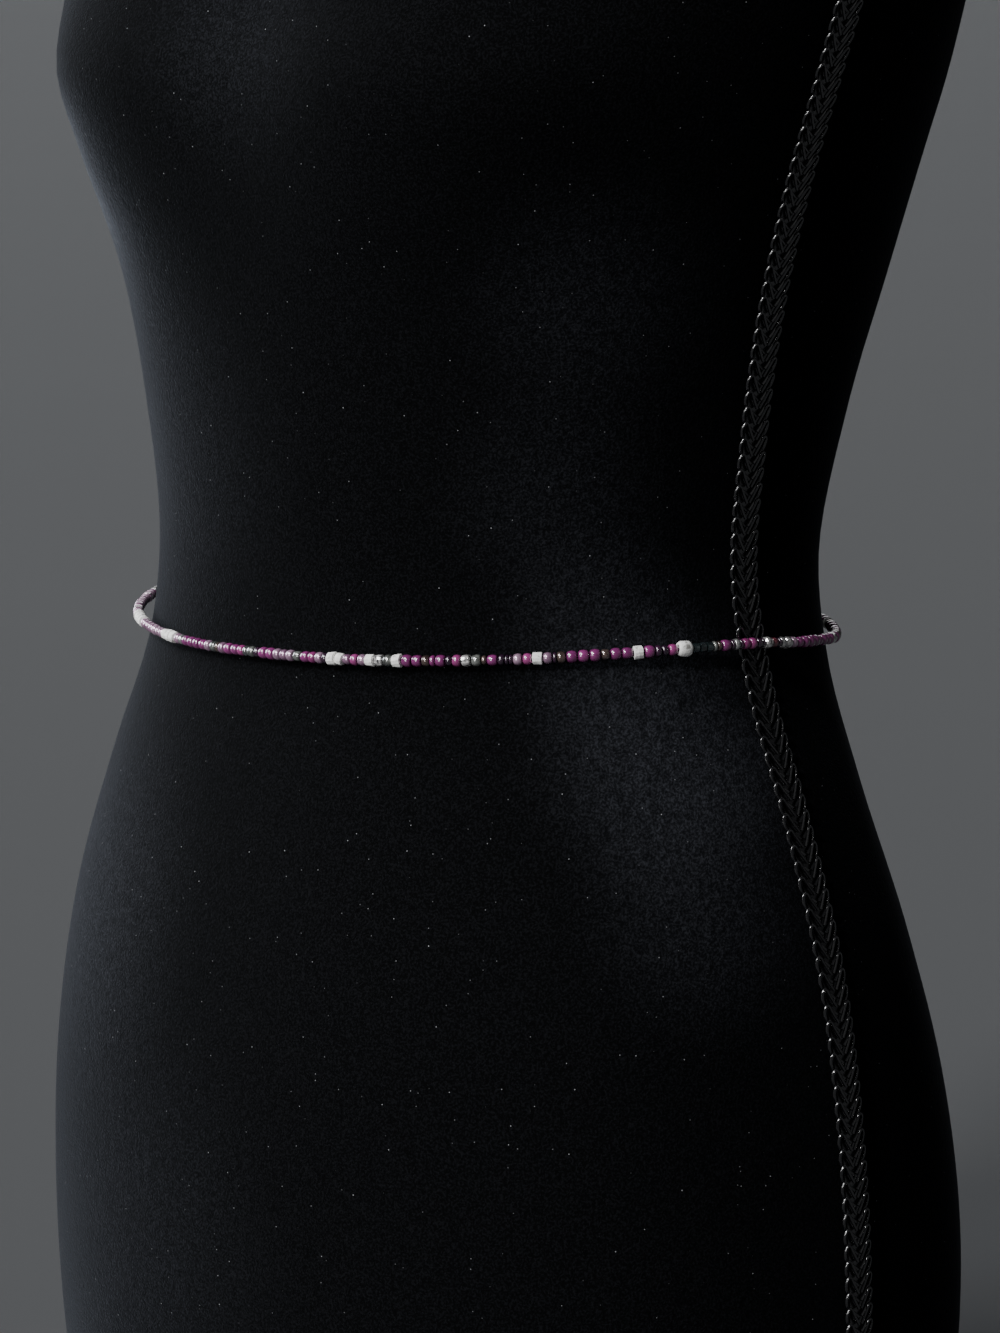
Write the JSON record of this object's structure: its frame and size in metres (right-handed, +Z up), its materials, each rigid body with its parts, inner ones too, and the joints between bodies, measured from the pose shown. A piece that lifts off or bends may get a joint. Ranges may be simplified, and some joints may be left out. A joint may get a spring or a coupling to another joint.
{
  "type": "waist beads on a dress form",
  "caption": "Strand of small glass seed beads with a larger oval bead, worn round the waist of a limbless velvet dress form with gimp braid over its side seams.",
  "frame": {"origin": "centre of the dress form's flat base", "axes": "+Z up from the base to the neck, -Y the way the form faces, +X towards the form's own left side"},
  "size_m": [0.3458, 0.2409, 0.775],
  "materials": {
    "velvet": "matt black velvet",
    "gimp": "lustrous black braid",
    "beads": "glossy glass, mostly plum",
    "oval": "white stone"
  },
  "bodies": {
    "root": {"dress_form": "velvet", "side_braid_left": "gimp", "side_braid_right": "gimp", "bead_run_01": "beads", "bead_run_02": "beads", "bead_run_03": "beads", "bead_run_04": "beads", "bead_run_05": "beads", "bead_run_06": "beads", "bead_run_07": "beads", "bead_run_08": "beads", "bead_run_09": "beads", "bead_run_10": "beads", "bead_run_11": "beads", "bead_run_12": "beads", "oval_bead": "oval"}
  },
  "joints": []
}
